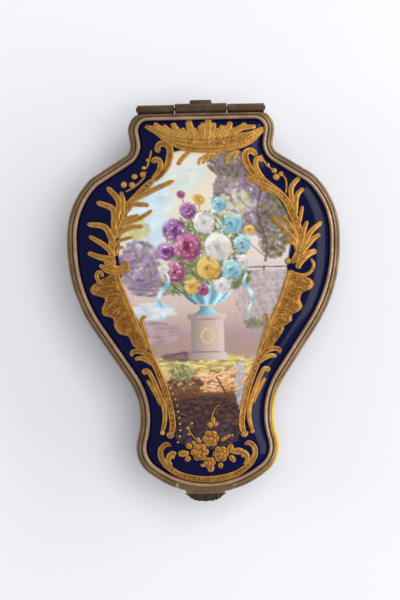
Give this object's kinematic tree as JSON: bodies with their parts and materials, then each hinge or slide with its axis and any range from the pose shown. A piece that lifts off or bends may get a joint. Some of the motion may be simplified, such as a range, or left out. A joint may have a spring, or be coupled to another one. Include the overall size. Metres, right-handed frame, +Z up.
{
  "type": "porcelain box",
  "caption": "Vase-shaped porcelain table box with a domed hinged lid, reeded brass mounts, a foot ring and a scalloped thumbpiece.",
  "frame": {"origin": "centre of the closed box's length and width, on the surface that its foot ring stands on", "axes": "+Y towards the hinge, -Y towards the thumbpiece, +Z up"},
  "size_m": [0.1018, 0.1498, 0.0441],
  "materials": {
    "cobalt_porcelain": "glossy cobalt glaze",
    "painted_porcelain": "glossy painted glaze with raised gilding",
    "aged_brass": "polished lip, brown patina in the grooves",
    "dark_brass": "dark patina",
    "plaster": "matt plaster"
  },
  "bodies": {
    "base": {"lower_shell": "cobalt_porcelain", "lower_bedding": "plaster", "lower_mount": "aged_brass", "hinge_leaf_left": "dark_brass", "hinge_leaf_right": "dark_brass", "hinge_pin": "dark_brass"},
    "lid": {"lid_plaque": "painted_porcelain", "lid_bedding": "plaster", "lid_mount": "aged_brass", "hinge_leaf_lid": "dark_brass", "hinge_stop": "dark_brass", "thumbpiece": "dark_brass", "thumbpiece_rivet_middle": "dark_brass", "thumbpiece_rivet_left": "dark_brass", "catch_spring": "aged_brass"}
  },
  "joints": [
    {"name": "lid_hinge", "type": "hinge", "parent": "base", "child": "lid", "pos_m": [0, 0.07162, 0.035], "axis": [-1, 0, 0], "range_deg": [0, 110]}
  ]
}
